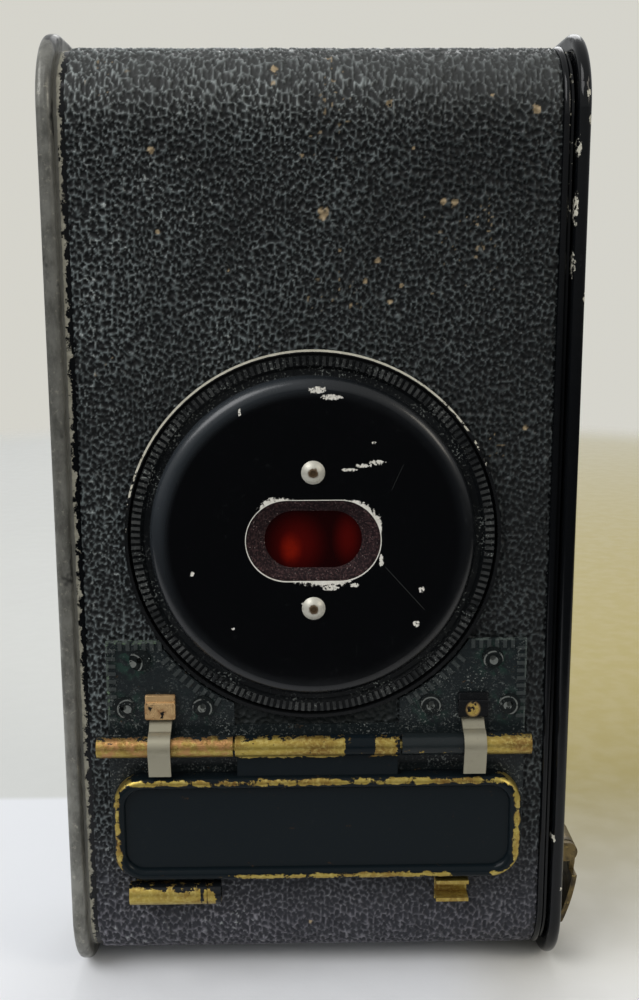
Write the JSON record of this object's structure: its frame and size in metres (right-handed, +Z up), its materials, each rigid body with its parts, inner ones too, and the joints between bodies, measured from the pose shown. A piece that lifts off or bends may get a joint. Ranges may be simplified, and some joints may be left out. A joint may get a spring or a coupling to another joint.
{
  "type": "vest pocket camera",
  "caption": "Closed strut-folding roll-film pocket camera standing on its end, with round back disc, red window, hinged writing-slot door, side winding key and lazy-tong front.",
  "frame": {"origin": "centre of the footprint of the whole closed camera, on the surface it stands on", "axes": "+Z up along the body, +Y out of the lens, +X out of the side with the winding key"},
  "size_m": [0.0684, 0.0364, 0.121],
  "materials": {
    "enamel_black": "glossy black enamel, chipped",
    "rim_worn": "black enamel worn to grey-brown metal",
    "leather_black": "pebbled black leather",
    "disc_enamel": "deep gloss black enamel",
    "chamber_black": "matt black",
    "steel_bright": "plain steel",
    "nickel": "aged nickel",
    "brass_worn": "worn brass with black left in the hollows",
    "copper_worn": "copper-brown worn tab",
    "spool_red": "red painted spool",
    "bellows_black": "black bellows leather",
    "red_glass": "dark red celluloid",
    "window_dust": "dusty dark red slope",
    "lens_glass": "clear glass"
  },
  "bodies": {
    "body": {"body_shell": "enamel_black", "leather_cover": "leather_black", "side_plate_left": "rim_worn", "spool_pins_left": "steel_bright", "film_chamber": "chamber_black", "film_guide_rails": "steel_bright", "spool_springs": "steel_bright", "disc_lip": "enamel_black", "slot_plate": "enamel_black", "plate_rivets": "enamel_black", "door_hinge_pin": "brass_worn", "door_springs": "nickel", "spring_bridges": "copper_worn", "stylus_socket": "brass_worn", "stylus_clip": "brass_worn", "body_brackets": "chamber_black", "bellows_rear_frame": "chamber_black", "bellows": "bellows_black"},
    "disc": {"serrated_ring": "enamel_black", "back_disc": "disc_enamel", "window_frame": "window_dust", "red_window": "red_glass", "window_retainer": "chamber_black", "disc_rivets": "nickel"},
    "door": {"slot_door": "enamel_black"},
    "cover": {"side_cover_right": "enamel_black", "cover_catches": "steel_bright", "spool_pin_right": "steel_bright"},
    "key": {"key_shaft": "brass_worn", "key_pin": "brass_worn"},
    "blade": {"key_blade": "brass_worn"},
    "supply": {"supply_spool": "spool_red"},
    "takeup": {"takeup_spool": "enamel_black"},
    "front": {"front_plate": "enamel_black", "finger_tabs": "nickel", "shutter_case": "enamel_black", "shutter_face": "enamel_black", "lens_barrel": "nickel", "lenses": "lens_glass", "rear_cell": "chamber_black", "front_brackets": "chamber_black", "bellows_front_frame": "chamber_black", "finder_mount": "nickel"},
    "aperture": {"aperture_disc": "chamber_black", "aperture_lever": "nickel"},
    "release": {"release_lever": "nickel"},
    "dial": {"speed_dial": "nickel"},
    "shutter_left": {"shutter_blade_left": "steel_bright"},
    "shutter_right": {"shutter_blade_right": "steel_bright"},
    "finder": {"finder_body": "enamel_black", "finder_lenses": "lens_glass"},
    "foot": {"foot_stand": "nickel"},
    "bar_left_rear_outer": {"bar_left_rear_outer": "enamel_black"},
    "bar_left_rear_inner": {"bar_left_rear_inner": "enamel_black"},
    "bar_left_front_outer": {"bar_left_front_outer": "enamel_black"},
    "bar_left_front_inner": {"bar_left_front_inner": "enamel_black"},
    "bar_right_rear_outer": {"bar_right_rear_outer": "enamel_black"},
    "bar_right_rear_inner": {"bar_right_rear_inner": "enamel_black"},
    "bar_right_front_outer": {"bar_right_front_outer": "enamel_black"},
    "bar_right_front_inner": {"bar_right_front_inner": "enamel_black"}
  },
  "joints": [
    {"name": "front_slide", "type": "slide", "parent": "body", "child": "front", "axis": [0, 1, 0], "range_m": [0, 0.06], "deforming": ["bellows"]},
    {"name": "door_swing", "type": "hinge", "parent": "body", "child": "door", "pos_m": [-0.00202, -0.01622, 0.0341], "axis": [-1, 0, 0], "range_deg": [0, 110]},
    {"name": "disc_turn", "type": "hinge", "parent": "body", "child": "disc", "pos_m": [-0.00243, -0.01408, 0.0605], "axis": [0, -1, 0], "range_deg": [0, 48]},
    {"name": "cover_slide", "type": "slide", "parent": "body", "child": "cover", "axis": [1, 0, 0], "range_m": [0, 0.02]},
    {"name": "key_turn", "type": "hinge", "parent": "cover", "child": "key", "pos_m": [0.02998, -0.00217, 0.0135], "axis": [1, 0, 0], "continuous": true},
    {"name": "key_fold", "type": "hinge", "parent": "key", "child": "blade", "pos_m": [0.03288, -0.00217, 0.0135], "axis": [0, -1, 0], "range_deg": [0, 90]},
    {"name": "takeup_turn", "type": "hinge", "parent": "body", "child": "takeup", "pos_m": [-0.00202, -0.00217, 0.0135], "axis": [1, 0, 0], "continuous": true},
    {"name": "supply_turn", "type": "hinge", "parent": "body", "child": "supply", "pos_m": [-0.00202, -0.00217, 0.1075], "axis": [1, 0, 0], "continuous": true},
    {"name": "aperture_turn", "type": "hinge", "parent": "front", "child": "aperture", "pos_m": [-0.00202, 0.01523, 0.0531], "axis": [0, 1, 0], "range_deg": [0, 135]},
    {"name": "release_press", "type": "hinge", "parent": "front", "child": "release", "pos_m": [-0.01353, 0.01523, 0.0685], "axis": [0, -1, 0], "range_deg": [0, 15], "stiffness_Nm_per_rad": 0.002, "springref_deg": -5.73},
    {"name": "shutter_left_swing", "type": "hinge", "parent": "front", "child": "shutter_left", "pos_m": [0.00747, 0.01162, 0.0605], "axis": [0, 1, 0], "range_deg": [0, 66.2]},
    {"name": "shutter_right_swing", "type": "hinge", "parent": "front", "child": "shutter_right", "pos_m": [-0.01153, 0.01213, 0.0605], "axis": [0, 1, 0], "range_deg": [0, 66.2]},
    {"name": "dial_turn", "type": "hinge", "parent": "front", "child": "dial", "pos_m": [-0.00202, 0.01523, 0.0719], "axis": [0, 1, 0], "range_deg": [-60, 60]},
    {"name": "finder_swivel", "type": "hinge", "parent": "front", "child": "finder", "pos_m": [-0.02102, 0.01162, 0.0915], "axis": [0, 1, 0], "range_deg": [0, 90]},
    {"name": "foot_swing", "type": "hinge", "parent": "front", "child": "foot", "pos_m": [-0.00202, 0.01192, 0.0157], "axis": [-1, 0, 0], "range_deg": [0, 175]},
    {"name": "bar_left_rear_outer_turn", "type": "hinge", "parent": "body", "child": "bar_left_rear_outer", "pos_m": [-0.02902, -0.00278, 0.03159], "axis": [-1, 0, 0], "range_deg": [0, 32.19]},
    {"name": "bar_left_rear_inner_turn", "type": "hinge", "parent": "bar_left_rear_outer", "child": "bar_left_rear_inner", "pos_m": [-0.02792, -0.00045, 0.0605], "axis": [1, 0, 0], "range_deg": [0, 64.27]},
    {"name": "bar_left_front_inner_turn", "type": "hinge", "parent": "front", "child": "bar_left_front_inner", "pos_m": [-0.02792, 0.00653, 0.03159], "axis": [1, 0, 0], "range_deg": [0, 32.19]},
    {"name": "bar_left_front_outer_turn", "type": "hinge", "parent": "bar_left_front_inner", "child": "bar_left_front_outer", "pos_m": [-0.02902, 0.0042, 0.0605], "axis": [-1, 0, 0], "range_deg": [0, 64.27]},
    {"name": "bar_right_rear_outer_turn", "type": "hinge", "parent": "body", "child": "bar_right_rear_outer", "pos_m": [0.02498, -0.00278, 0.03159], "axis": [-1, 0, 0], "range_deg": [0, 32.19]},
    {"name": "bar_right_rear_inner_turn", "type": "hinge", "parent": "bar_right_rear_outer", "child": "bar_right_rear_inner", "pos_m": [0.02388, -0.00045, 0.0605], "axis": [1, 0, 0], "range_deg": [0, 64.27]},
    {"name": "bar_right_front_inner_turn", "type": "hinge", "parent": "front", "child": "bar_right_front_inner", "pos_m": [0.02388, 0.00653, 0.03159], "axis": [1, 0, 0], "range_deg": [0, 32.19]},
    {"name": "bar_right_front_outer_turn", "type": "hinge", "parent": "bar_right_front_inner", "child": "bar_right_front_outer", "pos_m": [0.02498, 0.0042, 0.0605], "axis": [-1, 0, 0], "range_deg": [0, 64.27]}
  ],
  "couplings": [
    {"joint": "takeup_turn", "follows": "key_turn", "ratio": 1},
    {"joint": "shutter_left_swing", "follows": "release_press", "ratio": 4.4},
    {"joint": "shutter_right_swing", "follows": "release_press", "ratio": 4.4},
    {"joint": "bar_left_rear_outer_turn", "follows": "front_slide", "rad_per_m": 9.3336},
    {"joint": "bar_left_rear_inner_turn", "follows": "front_slide", "rad_per_m": 18.667},
    {"joint": "bar_left_front_inner_turn", "follows": "front_slide", "rad_per_m": 9.3336},
    {"joint": "bar_left_front_outer_turn", "follows": "front_slide", "rad_per_m": 18.667},
    {"joint": "bar_right_rear_outer_turn", "follows": "front_slide", "rad_per_m": 9.3336},
    {"joint": "bar_right_rear_inner_turn", "follows": "front_slide", "rad_per_m": 18.667},
    {"joint": "bar_right_front_inner_turn", "follows": "front_slide", "rad_per_m": 9.3336},
    {"joint": "bar_right_front_outer_turn", "follows": "front_slide", "rad_per_m": 18.667}
  ]
}
